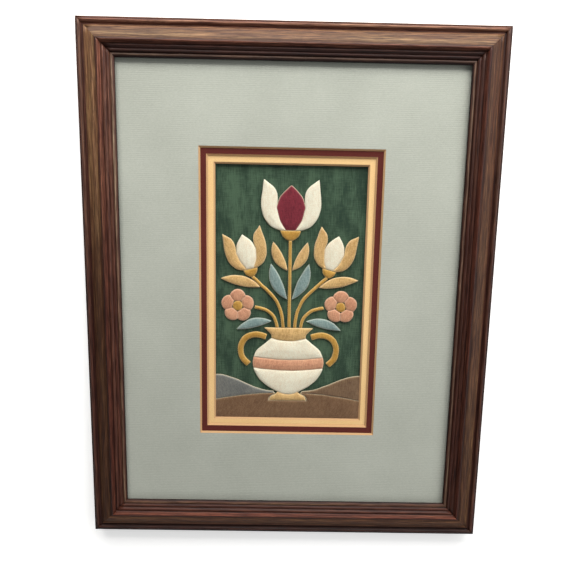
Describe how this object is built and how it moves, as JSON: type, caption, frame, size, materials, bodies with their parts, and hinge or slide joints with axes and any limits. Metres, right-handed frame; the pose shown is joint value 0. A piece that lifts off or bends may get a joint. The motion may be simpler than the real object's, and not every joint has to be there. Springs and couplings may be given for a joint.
{
  "type": "framed fabric applique",
  "caption": "Rectangular picture frame of reeded moulding holding glass, stepped window mats and a padded fabric applique of an urn of flowers, lying on its back.",
  "frame": {"origin": "centre of the frame's back, on the surface that it lies on", "axes": "+Y towards the picture's top edge along the frame's height, +X to the picture's right, +Z out of the picture's face"},
  "size_m": [0.35, 0.443, 0.0199],
  "materials": {
    "walnut_stain": "walnut stain, satin lacquer",
    "picture_glass": "clear picture glass",
    "sage_mat": "laid paper face on mat board, matte",
    "maroon_mat": "matte paper face on mat board",
    "peach_mat": "matte paper face on mat board",
    "backing_board": "raw board",
    "green_cotton": "mottled plain-weave cotton",
    "ivory_cotton": "plain-weave cotton",
    "tan_cotton": "plain-weave cotton",
    "salmon_cotton": "plain-weave cotton",
    "slate_blue_cotton": "plain-weave cotton",
    "crimson_cotton": "plain-weave cotton",
    "gold_cotton": "plain-weave cotton",
    "brown_cotton": "plain-weave cotton",
    "taupe_cotton": "plain-weave cotton",
    "slate_cotton": "plain-weave cotton"
  },
  "bodies": {
    "root": {"backing_board": "backing_board", "glass": "picture_glass", "ground_cloth": "green_cotton", "handle_left": "gold_cotton", "handle_right": "gold_cotton", "hill_left": "slate_cotton", "hill_right": "taupe_cotton", "leaf_droop_left": "slate_blue_cotton", "leaf_droop_right": "slate_blue_cotton", "leaf_high_left": "tan_cotton", "leaf_high_right": "tan_cotton", "leaf_low_left": "slate_blue_cotton", "leaf_low_right": "slate_blue_cotton", "leaf_outer_left": "tan_cotton", "leaf_outer_right": "tan_cotton", "mat_inner": "peach_mat", "mat_middle": "maroon_mat", "mat_outer": "sage_mat", "mound": "brown_cotton", "rail_bottom": "walnut_stain", "rail_left": "walnut_stain", "rail_right": "walnut_stain", "rail_top": "walnut_stain", "rosette_left_heart": "gold_cotton", "rosette_left_petal_1": "salmon_cotton", "rosette_left_petal_2": "salmon_cotton", "rosette_left_petal_3": "salmon_cotton", "rosette_left_petal_4": "salmon_cotton", "rosette_left_petal_5": "salmon_cotton", "rosette_right_heart": "gold_cotton", "rosette_right_petal_1": "salmon_cotton", "rosette_right_petal_2": "salmon_cotton", "rosette_right_petal_3": "salmon_cotton", "rosette_right_petal_4": "salmon_cotton", "rosette_right_petal_5": "salmon_cotton", "stem_centre": "gold_cotton", "stem_rosette_left": "gold_cotton", "stem_rosette_right": "gold_cotton", "stem_tulip_left": "gold_cotton", "stem_tulip_right": "gold_cotton", "tulip_centre_calyx": "gold_cotton", "tulip_centre_middle": "crimson_cotton", "tulip_centre_petal_left": "ivory_cotton", "tulip_centre_petal_right": "ivory_cotton", "tulip_left_calyx": "gold_cotton", "tulip_left_middle": "ivory_cotton", "tulip_left_petal_left": "tan_cotton", "tulip_left_petal_right": "tan_cotton", "tulip_right_calyx": "gold_cotton", "tulip_right_middle": "ivory_cotton", "tulip_right_petal_left": "tan_cotton", "tulip_right_petal_right": "tan_cotton", "urn_band": "salmon_cotton", "urn_belly": "ivory_cotton", "urn_foot": "tan_cotton", "urn_rim": "tan_cotton", "urn_shoulder": "ivory_cotton"}
  },
  "joints": []
}
